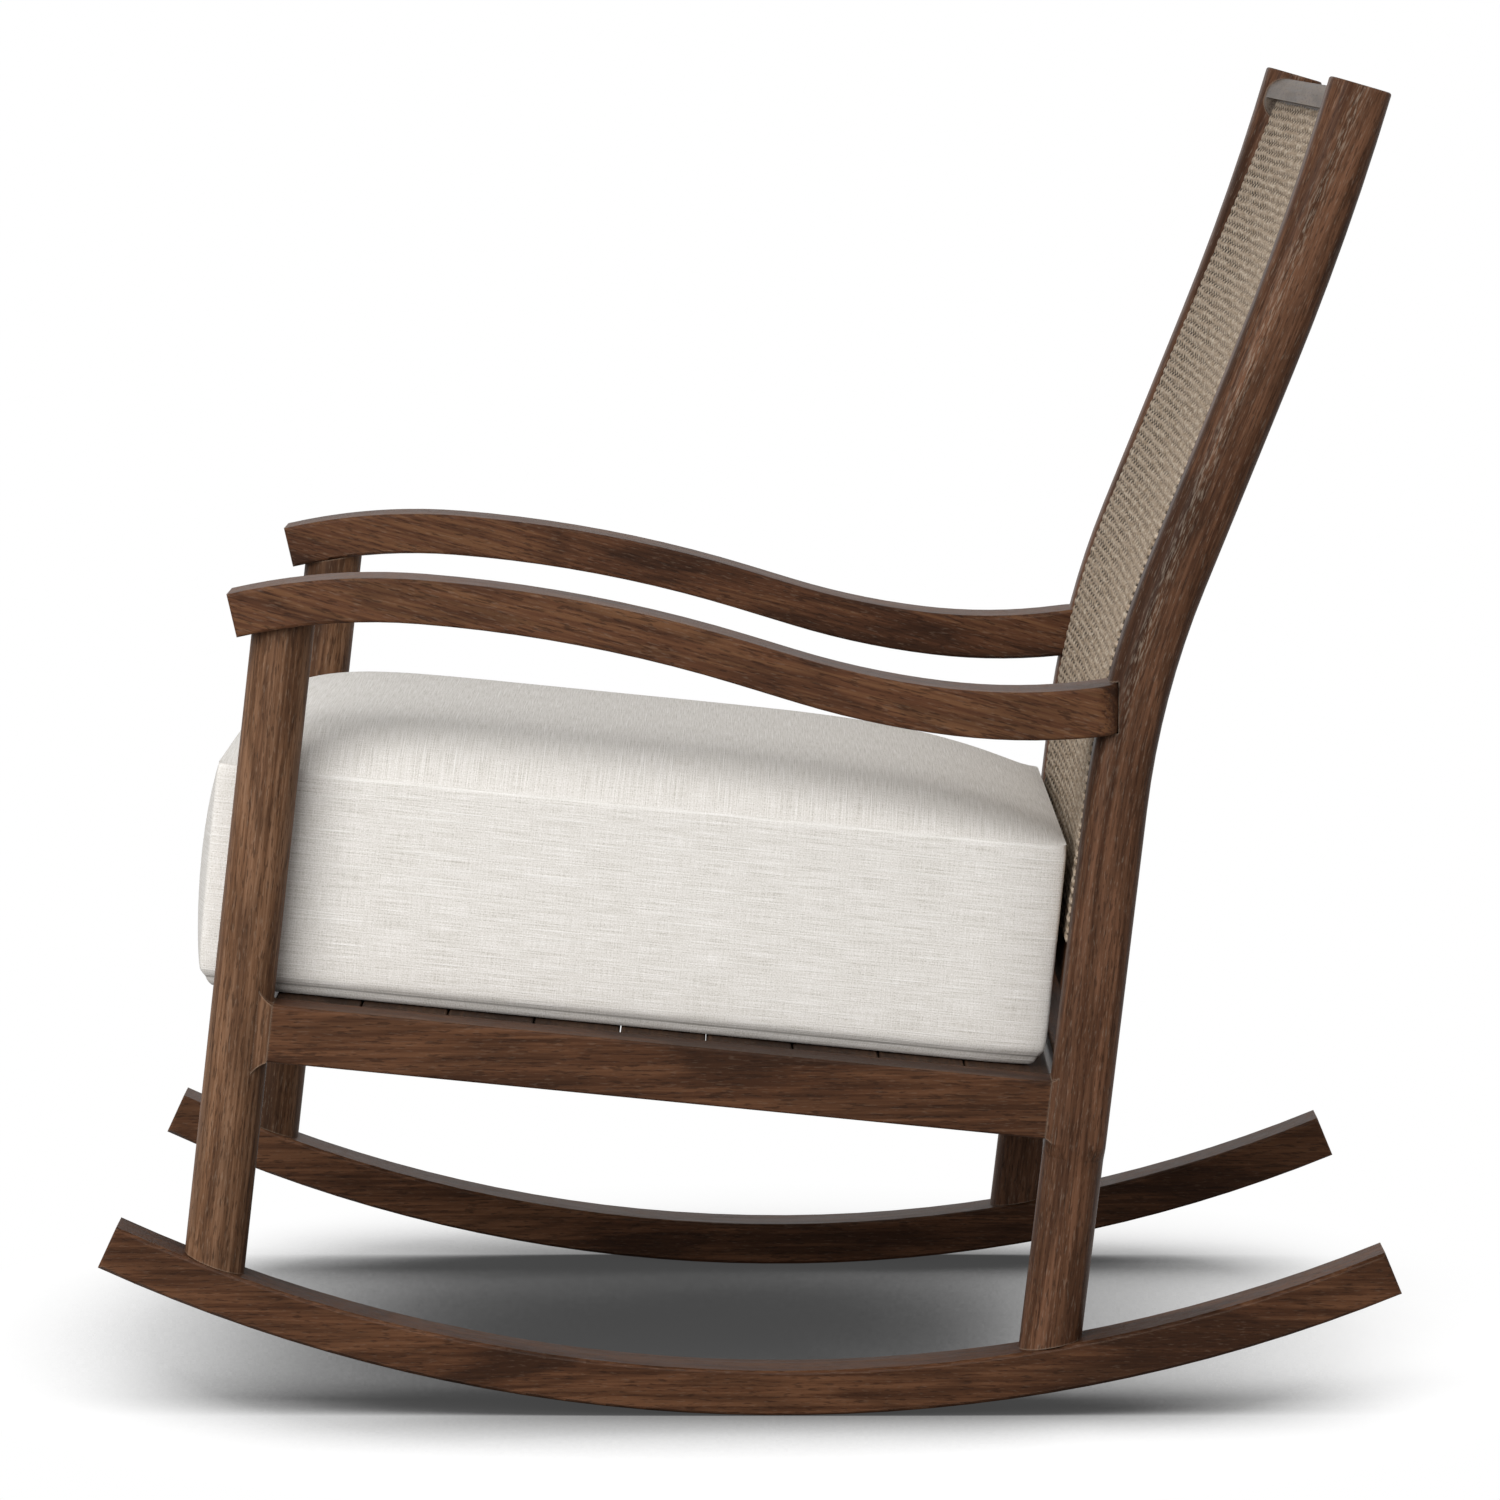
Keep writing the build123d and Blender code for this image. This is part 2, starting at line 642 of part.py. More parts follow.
with BuildPart() as weave:
    with BuildSketch(across(0, panel_start, leg_lean)) as ring:
        RectangleRounded(2 * panel_half_width, 2 * weave_half_depth, weave_edge_round)
        Rectangle(
            2 * (panel_half_width - cord_layer), stile_depth + 2 * seat_gap, mode=Mode.SUBTRACT
        )
    sweep(ring.sketch, path=panel_path())
    for name, side in sides:
        pin_bores(panel_joints[name], panel_dowel_radius, panel_dowel_reach)
weave.part.label = "woven_back"
export_step(weave.part, "parts/woven_back.step")

# ---------------------------------------------------------------- seat deck
with BuildPart() as slats:
    with BuildSketch(deck) as boards:
        with Locations([(0, row) for row in slat_rows]):
            Rectangle(2 * slat_reach, slat_width)
    extrude(boards.sketch, amount=-slat_thickness)
    tops = slats.faces().filter_by(lambda face: face.normal_at().dot(deck.z_dir) > 0.99)
    fillet(tops.edges().filter_by(Axis.X), slat_round)
    for name, side in sides:
        screw_bores(slat_heads[name], slat_screw_length)
slats.part.label = "seat_slats"
export_step(slats.part, "parts/seat_slats.step")

with BuildPart() as blocks:
    for name, side in sides:
        for back, facing in block_corners[name]:
            with BuildSketch(deck.offset(-slat_thickness - seat_gap)):
                with BuildLine():
                    Polyline(
                        (side * (slat_reach - block_clip), back),
                        (side * (slat_reach - block_leg), back),
                        (side * slat_reach, back + facing * block_leg),
                        (side * slat_reach, back + facing * block_clip),
                        close=True,
                    )
                make_face()
    extrude(amount=-block_height)
    for name, side in sides:
        screw_bores((slat_heads[name][0], slat_heads[name][-1]), slat_screw_length)
        screw_bores(block_heads[name], block_screw_length)
blocks.part.label = "corner_blocks"
export_step(blocks.part, "parts/corner_blocks.step")

# ---------------------------------------------------------------- dowels and screws
for label, joints, radius, reach in (
    ("rocker_dowels", foot_joints, leg_dowel_radius, leg_dowel_reach),
    ("arm_leg_dowels", arm_leg_joints, arm_dowel_radius, arm_dowel_reach),
    ("arm_post_dowels", arm_post_joints, arm_dowel_radius, arm_dowel_reach),
    ("seat_rail_dowels", seat_joints, rail_dowel_radius, rail_dowel_reach),
    ("back_rail_dowels", back_joints, rail_dowel_radius, back_dowel_reach),
    ("panel_dowels", panel_joints, panel_dowel_radius, panel_dowel_reach),
):
    with BuildPart() as dowels:
        for name, side in sides:
            pins(joints[name], radius, reach)
    dowels.part.label = label
    export_step(dowels.part, f"parts/{label}.step")

for label, heads, length in (
    ("slat_screws", slat_heads, slat_screw_length),
    ("cleat_screws", cleat_heads, cleat_screw_length),
    ("corner_block_screws", block_heads, block_screw_length),
):
    with BuildPart() as fixings:
        for name, side in sides:
            screws(heads[name], length)
    fixings.part.label = label
    export_step(fixings.part, f"parts/{label}.step")

# ---------------------------------------------------------------- cushion
cushion_width = 2 * (inner_x - cushion_side_gap)
cushion_back = deck_depth - cushion_back_gap
cushion_length = cushion_back + cushion_front_overhang
cushion_mid = (cushion_back - cushion_front_overhang) / 2
corner_front = cushion_front_overhang - cushion_front_bow
side_end = (cushion_side_swell, cushion_side_shoulder)
with BuildPart() as cushion:
    with BuildSketch(deck.offset(cushion_gap)) as plan:
        with Locations((0, (cushion_back - corner_front) / 2)):
            Rectangle(cushion_width, cushion_back + corner_front)
        with BuildLine():
            front_line = SagittaArc(
                (-cushion_width / 2, -corner_front),
                (cushion_width / 2, -corner_front),
                -cushion_front_bow,
            )
            Line(front_line @ 0, front_line @ 1)
        make_face()
        fillet(plan.vertices(), cushion_corner)
    extrude(plan.sketch, amount=cushion_thickness)
    base = deck.from_local_coords((0, cushion_mid, cushion_gap))
    for across_view, width, near_end, far_end in (
        (
            Plane(origin=base, x_dir=(0, deck_aft[0], deck_aft[1]), z_dir=(1, 0, 0)),
            cushion_length,
            (cushion_front_swell, cushion_front_shoulder),
            (cushion_back_swell, cushion_back_shoulder),
        ),
        (
            Plane(origin=base, x_dir=(-1, 0, 0), z_dir=(0, deck_aft[0], deck_aft[1])),
            cushion_width,
            side_end,
            side_end,
        ),
    ):
        near_seam = near_end[0] - width / 2
        far_seam = width / 2 - far_end[0]
        near_top = (near_seam + near_end[1], cushion_seam + cushion_shoulder_rise)
        far_top = (far_seam - far_end[1], cushion_seam + cushion_shoulder_rise)
        with BuildSketch(across_view) as outline:
            with BuildLine():
                Line((near_seam, cushion_lip), (near_seam + cushion_lip_inset, 0))
                Line((near_seam + cushion_lip_inset, 0), (far_seam - cushion_lip_inset, 0))
                Line((far_seam - cushion_lip_inset, 0), (far_seam, cushion_lip))
                SagittaArc((far_seam, cushion_lip), (far_seam, cushion_seam), -far_end[0])
                SagittaArc((far_seam, cushion_seam), far_top, -cushion_shoulder_bow)
                ThreePointArc(
                    far_top, ((near_top[0] + far_top[0]) / 2, cushion_thickness), near_top
                )
                SagittaArc(near_top, (near_seam, cushion_seam), -cushion_shoulder_bow)
                SagittaArc((near_seam, cushion_seam), (near_seam, cushion_lip), -near_end[0])
            make_face()
        extrude(outline.sketch, amount=long, both=True, mode=Mode.INTERSECT)
cushion.part.label = "seat_cushion"
export_step(cushion.part, "parts/seat_cushion.step")
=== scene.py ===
from math import cos, exp, pi, radians, sin, tan

import bmesh
import bpy
from mathutils import Matrix, Vector


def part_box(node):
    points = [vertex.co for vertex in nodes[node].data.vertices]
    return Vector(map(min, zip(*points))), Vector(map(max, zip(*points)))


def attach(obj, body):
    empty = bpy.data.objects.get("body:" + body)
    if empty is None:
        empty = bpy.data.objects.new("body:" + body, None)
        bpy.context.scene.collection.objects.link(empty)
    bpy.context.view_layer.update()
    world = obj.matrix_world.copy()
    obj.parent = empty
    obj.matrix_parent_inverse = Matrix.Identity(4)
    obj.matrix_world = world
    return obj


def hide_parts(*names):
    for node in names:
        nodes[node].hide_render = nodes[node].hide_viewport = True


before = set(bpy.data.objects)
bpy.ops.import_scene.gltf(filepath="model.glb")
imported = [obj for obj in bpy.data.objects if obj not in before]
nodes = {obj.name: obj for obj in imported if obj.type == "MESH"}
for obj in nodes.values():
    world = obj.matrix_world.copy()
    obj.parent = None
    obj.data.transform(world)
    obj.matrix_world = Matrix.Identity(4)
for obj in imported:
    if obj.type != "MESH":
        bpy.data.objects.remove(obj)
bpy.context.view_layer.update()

MM = 0.001
scene = bpy.context.scene

# ------------------------------------------------------------------ the chair's own lines
SEAT_PITCH = 5.7             # degrees, the deck falls towards the back
LEG_LEAN = 6.6
ARM_GRAIN = 15.0             # degrees down towards the back
POST_BEND_Z = 0.53           # metres, middle of the bend in the back posts
POST_BEND_SPAN = 0.2
POST_BEND_SLOPE = 0.284      # what the bend adds to the post's slope
# Along this line a painted highlight runs up the upper part of the posts.
POST_HIGHLIGHT_LINE = 0.203        # a third of the way back across the posts
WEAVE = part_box("woven_back")


# ------------------------------------------------------------------ small helpers
def deselect():
    bpy.ops.object.select_all(action="DESELECT")


def only(obj):
    deselect()
    obj.select_set(True)
    bpy.context.view_layer.objects.active = obj
    return obj


def apply(obj, kind, **settings):
    """Adds a modifier with its settings and applies it."""
    only(obj)
    modifier = obj.modifiers.new(kind.lower(), kind)
    for key, value in settings.items():
        setattr(modifier, key, value)
    bpy.ops.object.modifier_apply(modifier=modifier.name)


def smooth(obj, angle=40):
    only(obj)
    bpy.ops.object.shade_smooth_by_angle(angle=radians(angle))


def linear(code):
    """sRGB hex to linear colour."""
    parts = [int(code[i : i + 2], 16) / 255 for i in (1, 3, 5)]
    return [p / 12.92 if p <= 0.04045 else ((p + 0.055) / 1.055) ** 2.4 for p in parts] + [1.0]


def material(name):
    made = bpy.data.materials.new(name)
    made.use_nodes = True
    made.node_tree.nodes.clear()
    return made


def add(made, kind, links=None, **values):
    """One node: values are attributes or input sockets, links are {socket: (node, output)}."""
    node = made.node_tree.nodes.new("ShaderNode" + kind)
    for key, value in values.items():
        if hasattr(node, key):
            setattr(node, key, value)
    for key, value in values.items():
        if not hasattr(node, key):
            socket = int(key[1:]) if key[0] == "i" and key[1:].isdigit() else key.replace("_", " ")
            node.inputs[socket].default_value = value
    for key, (source, output) in (links or {}).items():
        made.node_tree.links.new(source.outputs[output], node.inputs[key])
    return node


def ramp(made, source, output, stops):
    """Colour ramp through (place, hex) stops."""
    node = add(made, "ValToRGB", {"Fac": (source, output)})
    elements = node.color_ramp.elements
    while len(elements) < len(stops):
        elements.new(0.5)
    for element, (place, code) in zip(elements, stops):
        element.position = place
        element.color = linear(code)
    return node


def surface(made, shader):
    out = add(made, "OutputMaterial")
    made.node_tree.links.new(shader.outputs[0], out.inputs["Surface"])


# ------------------------------------------------------------------ materials
def along_x(made, place):
    """Grain that runs from side to side."""
    return add(made, "Mapping", {"Vector": (place, "Object")})


def along_y(made, place):
    """Grain that runs from front to back."""
    return add(made, "Mapping", {"Vector": (place, "Object")}, Rotation=(0, 0, -pi / 2))


def along_arm(made, place):
    """Grain that runs back and a little down, as the arms' boards were cut."""
    return add(made, "Mapping", {"Vector": (place, "Object")},
               Rotation=(radians(ARM_GRAIN), 0, -pi / 2))


def up_leg(made, place):
    """Grain that climbs a straight leg."""
    return add(made, "Mapping", {"Vector": (place, "Object")},
               Rotation=(radians(LEG_LEAN), pi / 2, 0))


def up_post(made, place):
    """Grain that climbs a post and follows its bend."""
    parts = add(made, "SeparateXYZ", {"Vector": (place, "Object")})
    above = add(made, "Math", {0: (parts, "Z")}, operation="SUBTRACT", i1=POST_BEND_Z)
    bent = add(made, "Math", {0: (above, 0)}, operation="SMOOTH_MAX", i1=0.0, i2=POST_BEND_SPAN)
    low = add(made, "Math", {0: (parts, "Z")}, operation="MULTIPLY", i1=tan(radians(LEG_LEAN)))
    high = add(made, "Math", {0: (bent, 0)}, operation="MULTIPLY", i1=POST_BEND_SLOPE)
    lean = add(made, "Math", {0: (low, 0), 1: (high, 0)}, operation="ADD")
    back = add(made, "Math", {0: (parts, "Y"), 1: (lean, 0)}, operation="SUBTRACT")
    return add(made, "CombineXYZ", {"X": (parts, "Z"), "Y": (back, 0), "Z": (parts, "X")})


def stained_wood(name, grain, shift, tones, rough, highlight_line=None):
    """Open-grained hardwood under a dark brown stain and a thin satin oil: contour lines of
    the growth rings, long fine streaks, short dark pores along the grain, some of them filled
    with a greyer wax, and edges rubbed a little lighter. A painted highlight in the wax's pale
    tone lies along a line given as an argument, a distance behind the middle of the chair that climbs
    with the grain, on the upper part of the piece."""
    made = material(name)
    place = add(made, "TexCoord")
    run = grain(made, place)
    turned = add(made, "Mapping", {"Vector": (run, 0)}, Location=shift)
    board = add(made, "Mapping", {"Vector": (turned, 0)}, Scale=(2.4, 15.0, 15.0))
    streak = add(made, "Mapping", {"Vector": (turned, 0)}, Scale=(9.0, 330.0, 330.0))
    pore = add(made, "Mapping", {"Vector": (turned, 0)}, Scale=(90.0, 700.0, 700.0))
    wax = add(made, "Mapping", {"Vector": (turned, 0)}, Scale=(120.0, 800.0, 800.0))
    broad = add(made, "TexNoise", {"Vector": (board, 0)}, Scale=1.0, Detail=3.0, Roughness=0.55,
                Distortion=0.5)
    many = add(made, "Math", {0: (broad, 0)}, operation="MULTIPLY", i1=8.0)
    rings = add(made, "Math", {0: (many, 0)}, operation="PINGPONG", i1=0.5)
    line = add(made, "MapRange", {"Value": (rings, 0)}, i1=0.0, i2=0.3, i3=0.4, i4=0.0)
    fine = add(made, "TexNoise", {"Vector": (streak, 0)}, Scale=1.0, Detail=6.0, Roughness=0.62)
    dots = add(made, "TexNoise", {"Vector": (pore, 0)}, Scale=1.0, Detail=2.0)
    filled = add(made, "TexNoise", {"Vector": (wax, 0)}, Scale=1.0, Detail=3.0)
    soft = add(made, "Math", {0: (broad, 0)}, operation="MULTIPLY", i1=0.35)
    half = add(made, "Math", {0: (fine, 0), 2: (soft, 0)}, operation="MULTIPLY_ADD", i1=0.65)
    tone = ramp(made, half, 0, [(0.42, tones[1]), (0.5, tones[2]), (0.58, tones[3])])
    heart = add(made, "MapRange", {"Value": (broad, 0)}, i1=0.47, i2=0.36, i3=0.0, i4=0.55)
    hearted = add(made, "Mix", {"Factor": (heart, 0), 6: (tone, 0)}, data_type="RGBA",
                  i7=linear(tones[0]))
    ringed = add(made, "Mix", {"Factor": (line, 0), 6: (hearted, 2)}, data_type="RGBA",
                 i7=linear(tones[0]))
    pale = add(made, "MapRange", {"Value": (filled, 0)}, i1=0.58, i2=0.68, i3=0.0, i4=0.16)
    # Painted highlight: the wax's pale tone, flecked, laid in a narrow line up the upper posts.
    if highlight_line is not None:
        parts = add(made, "SeparateXYZ", {"Vector": (run, 0)})
        off = add(made, "Math", {0: (parts, "Y")}, operation="SUBTRACT", i1=highlight_line)
        beside = add(made, "Math", {0: (off, 0)}, operation="ABSOLUTE")
        near = add(made, "MapRange", {"Value": (beside, 0)}, i1=2.0 * MM, i2=8.0 * MM, i3=1.0,
                   i4=0.0)
        upper = add(made, "MapRange", {"Value": (parts, "X")}, i1=0.42, i2=0.56, i3=0.0, i4=1.0)
        more = add(made, "MapRange", {"Value": (filled, 0)}, i1=0.48, i2=0.64, i3=0.0, i4=0.4)
        upper_highlight = add(made, "Math", {0: (upper, 0), 1: (more, 0)}, operation="MULTIPLY")
        painted_highlight = add(made, "Math", {0: (near, 0), 1: (upper_highlight, 0)}, operation="MULTIPLY")
        pale = add(made, "Math", {0: (pale, 0), 1: (painted_highlight, 0)}, operation="MAXIMUM")
    wax_and_highlight = add(made, "Mix", {"Factor": (pale, 0), 6: (ringed, 2)}, data_type="RGBA",
                i7=linear(tones[4]))
    holes = add(made, "MapRange", {"Value": (dots, 0)}, i1=0.56, i2=0.64, i3=0.0, i4=0.55)
    pored = add(made, "Mix", {"Factor": (holes, 0), 6: (wax_and_highlight, 2)}, data_type="RGBA",
                i7=linear(tones[0]))
    flat = add(made, "NewGeometry")
    rounded = add(made, "Bevel", samples=4, Radius=2.0 * MM)
    turned_in = add(made, "VectorMath", {0: (flat, "Normal"), 1: (rounded, 0)},
                    operation="DOT_PRODUCT")
    rub = add(made, "MapRange", {"Value": (turned_in, "Value")}, i1=0.98, i2=0.85, i3=0.0, i4=0.35)
    worn = add(made, "Mix", {"Factor": (rub, 0), 6: (pored, 2)}, data_type="RGBA",
               i7=linear(tones[4]))
    gloss = add(made, "MapRange", {"Value": (fine, 0)}, i1=0.3, i2=0.7, i3=rough - 0.06, i4=rough + 0.1)
    height = add(made, "Math", {0: (fine, 0), 1: (holes, 0)}, operation="SUBTRACT")
    bump = add(made, "Bump", {"Height": (height, 0)}, Strength=0.35, Distance=0.0003)
    shader = add(made, "BsdfPrincipled", {"Base Color": (worn, 2), "Roughness": (gloss, 0),
                 "Normal": (bump, 0)}, Specular_IOR_Level=0.07)
    surface(made, shader)
    return made


# Tones of one wood from dark to light, and last its wax-filled pores, whose pale tone also colours the
# rubbed edges and the painted highlight on the posts.
STAIN = ("#20120b", "#432a1b", "#523423", "#62432d", "#8a7868")
DEEP = ("#22140c", "#40281a", "#4f3322", "#5f402c", "#7d6b5c")
TURNED = ("#2a1b12", "#533928", "#694b36", "#806049", "#a4917e")
CURVED = ("#26170e", "#452c1e", "#573b2a", "#694936", "#a39585")
# Painted sheen: a greyer copy of the stain for the top rail.
RAIL_SHEEN_TONES = ("#342b25", "#4c4139", "#5b5047", "#6b6056", "#80776d")
# Painted shade: a darker copy of the stain for the parts that lie in shade under the cushion.
UNDER_SEAT_SHADE = ("#1f150e", "#2f2018", "#3a291e", "#463326", "#5e4c3e")
PALE = ("#8a6a48", "#a98458", "#b9966a", "#c8a87c", "#d2b58c")


def wear(name, made):
    """Puts one material on every slot of a CAD node."""
    slots = nodes[name].data.materials
    if len(slots) == 0:
        slots.append(made)
    for slot_index in range(len(slots)):
        slots[slot_index] = made


WOOD_PARTS = (
    (along_y, DEEP, 0.44, ("left_rocker", "right_rocker", "left_side_rail",
                            "right_side_rail")),
    (along_arm, STAIN, 0.44, ("left_arm", "right_arm")),
    (up_leg, TURNED, 0.5, ("left_front_leg", "right_front_leg")),
    (up_post, CURVED, 0.44, ("left_back_post", "right_back_post")),
    (along_x, STAIN, 0.44, ("front_seat_rail", "rear_seat_rail", "lower_back_rail")),
    # Slats, corner blocks and cleats take the darker tones as painted shade.
    (along_x, UNDER_SEAT_SHADE, 0.6, ("seat_slats", "corner_blocks")),
    (along_y, UNDER_SEAT_SHADE, 0.6, ("left_seat_cleat", "right_seat_cleat")),
    (along_x, PALE, 0.6, ("panel_top_batten", "panel_bottom_batten", "back_rail_dowels",
                          "panel_dowels")),
    (along_y, PALE, 0.6, ("arm_post_dowels", "seat_rail_dowels")),
    (up_leg, PALE, 0.6, ("left_panel_stile", "right_panel_stile", "rocker_dowels",
                         "arm_leg_dowels")),
)
BOARD_SHIFT = Vector((0.37, 0.11, 0.23))    # metres, so that each piece shows its own board
piece = 0
for grain, tones, rough, names in WOOD_PARTS:
    for name in names:
        piece += 1
        shift = BOARD_SHIFT * piece
        line = POST_HIGHLIGHT_LINE if grain is up_post else None
        wear(name, stained_wood(f"stained_hardwood_{name}", grain, shift, tones, rough, line))


def zinc():
    """Zinc-plated steel screws: a dull pale metal."""
    made = material("zinc_plated_steel")
    place = add(made, "TexCoord")
    cloud = add(made, "TexNoise", {"Vector": (place, "Object")}, Scale=900.0, Detail=2.0)
    rough = add(made, "MapRange", {"Value": (cloud, 0)}, i1=0.3, i2=0.7, i3=0.3, i4=0.45)
    shader = add(made, "BsdfPrincipled", {"Roughness": (rough, 0)}, Metallic=1.0,
                 Base_Color=linear("#b9b9b6"))
    surface(made, shader)
    return made


plated = zinc()
for name in ("slat_screws", "cleat_screws", "corner_block_screws"):
    wear(name, plated)


# ------------------------------------------------------------------ woven back
PANEL_START = Vector((0.0, 245.18, 339.11)) * MM
PANEL_STRAIGHT = (399.0 - 290.0) * MM
PANEL_LEAN = 22.4
PANEL_BEND = 658.0 * MM
ROW = 7.0 * MM               # one turn of cord round the frame
ROW_RISE = 1.2 * MM
ROW_STEPS = 5
STITCH = 23.0 * MM           # from one crest of a turn to its next
DISH = 3.0 * MM              # how far the cord's pull draws the middle of each face in
DISH_START = 25.0 * MM       # from each end of the panel, where the dish begins
DISH_FADE = 45.0 * MM
PANEL_DEPTH = 30.0 * MM      # front face to back face of the weave
PANEL_ROUND = 9.0 * MM
TURN_CUTS = 91               # cuts along each face, fine enough for the stitches
LAST_TURN = 3.5 * MM         # how far the last turn is drawn in
RAIL_LAP = 15.0 * MM         # how far the cord reaches up into the top rail's rebate
RAIL_LEAN = 16.1
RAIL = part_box("top_back_rail")
RAIL_DEPTH = 38.0 * MM
RAIL_HEIGHT = 34.0 * MM
RAIL_ROUND = 15.0 * MM
REBATE_FLOOR = 10.2 * MM     # in front of the rail's middle
REBATE_TOP = -1.6 * MM       # below the rail's middle
SWAY = 0.5 * MM              # how far a turn wanders up and down
EDGE_SLACK = 2.2 * MM        # how far loose turns fall short of the panel's edge


def back_line(s):
    """Place and lean of the panel's middle at a length s up the back."""
    start = Vector((0.0, PANEL_START.y, PANEL_START.z))
    low = radians(LEG_LEAN)
    high = radians(PANEL_LEAN)
    arc = PANEL_BEND * (high - low)
    climb = Vector((0.0, sin(low), cos(low)))
    if s <= PANEL_STRAIGHT:
        return start + climb * s, low
    bend = start + climb * PANEL_STRAIGHT
    centre = bend + Vector((0.0, cos(low), -sin(low))) * PANEL_BEND
    turn = low + min(s - PANEL_STRAIGHT, arc) / PANEL_BEND
    spot = centre - Vector((0.0, cos(turn), -sin(turn))) * PANEL_BEND
    if s > PANEL_STRAIGHT + arc:
        spot += Vector((0.0, sin(high), cos(high))) * (s - PANEL_STRAIGHT - arc)
    return spot, turn


def panel_length():
    """Length up the back at which the cord ends, inside the top rail's rebate."""
    top = WEAVE[1].z + RAIL_LAP
    s = 0.0
    while back_line(s)[0].z + PANEL_DEPTH / 2 * sin(back_line(s)[1]) < top:
        s += 0.5 * MM
    return s


def woven_back():
    """Cord wound side to side round a thin frame: one bulging turn is modelled, repeated up
    the back, and then laid on the back's curve."""
    width = WEAVE[1].x - WEAVE[0].x - 2 * ROW_RISE
    depth = PANEL_DEPTH - 2 * ROW_RISE
    deselect()
    bpy.ops.mesh.primitive_plane_add(size=1.0)
    obj = bpy.context.active_object
    obj.name = "woven_back_cord"
    bpy.ops.object.mode_set(mode="EDIT")
    bpy.ops.transform.resize(value=(width, depth, 1.0))
    bpy.ops.mesh.bevel(offset=PANEL_ROUND, segments=4, affect="VERTICES")
    bpy.ops.mesh.delete(type="ONLY_FACE")
    bm = bmesh.from_edit_mesh(obj.data)
    for edge in bm.edges:
        edge.select_set(edge.calc_length() > 0.1)
    bmesh.update_edit_mesh(obj.data)
    bpy.ops.mesh.subdivide(number_cuts=TURN_CUTS)
    bpy.ops.mesh.select_all(action="SELECT")
    for step in range(ROW_STEPS):
        bpy.ops.mesh.extrude_region_move(TRANSFORM_OT_translate={"value": (0, 0, ROW / ROW_STEPS)})
    bpy.ops.object.mode_set(mode="OBJECT")
    length = panel_length()
    count = int(length / ROW)
    apply(obj, "ARRAY", count=count, use_relative_offset=False, use_constant_offset=True,
          constant_offset_displace=(0, 0, ROW), use_merge_vertices=True, merge_threshold=0.2 * MM)
    mesh = obj.data
    pattern = mesh.uv_layers.new(name="cord")
    scale = length / (count * ROW)
    flat = [v.co.copy() for v in mesh.vertices]
    for loop in mesh.loops:
        co = flat[loop.vertex_index]
        round_side = co.y if abs(co.x) > width / 2 - 1.0 * MM else 0.0
        pattern.data[loop.index].uv = ((co.x + round_side) / MM / 100, co.z / MM / 100)
    for vertex, co in zip(mesh.vertices, flat):
        turn = co.z / ROW
        number = int(turn + 1e-6)
        crest = 0.5 + 0.5 * cos(2 * pi * (co.x / STITCH + 0.5 * number))
        bulge = ROW_RISE * abs(sin(pi * turn)) * (0.2 + 0.8 * crest)
        sway = SWAY * (sin(number * 2.4 + co.x * 31) + 0.7 * sin(number * 5.1 - co.x * 73))
        side = 1 if co.x > 0 else -1
        at_edge = 1 if abs(co.x) > 0.48 * width else 0
        loose = EDGE_SLACK * (0.5 + 0.5 * sin(number * 1.7)) * (1 if number % 3 else 0.2)
        face = 1 if co.y > 0 else -1
        flatness = min(1.0, (2 * co.y / depth) ** 2)
        from_end = min(co.z * scale, length - RAIL_LAP - co.z * scale) - DISH_START
        held = min(1.0, max(0.0, from_end / DISH_FADE))
        dished = DISH * (1 - (2 * co.x / width) ** 2) * held
        end = max(0.0, 1 - (count * ROW - co.z) / ROW)
        sway += 2.2 * MM * end * (crest - 0.5)
        depth_out = co.y + face * (bulge - dished - LAST_TURN * end**3) * flatness
        spot, lean = back_line(co.z * scale + sway)
        vertex.co = spot + Vector((0.0, cos(lean), -sin(lean))) * depth_out
        vertex.co.x = co.x + side * at_edge * (bulge - loose)
    smooth(obj, 60)
    return obj


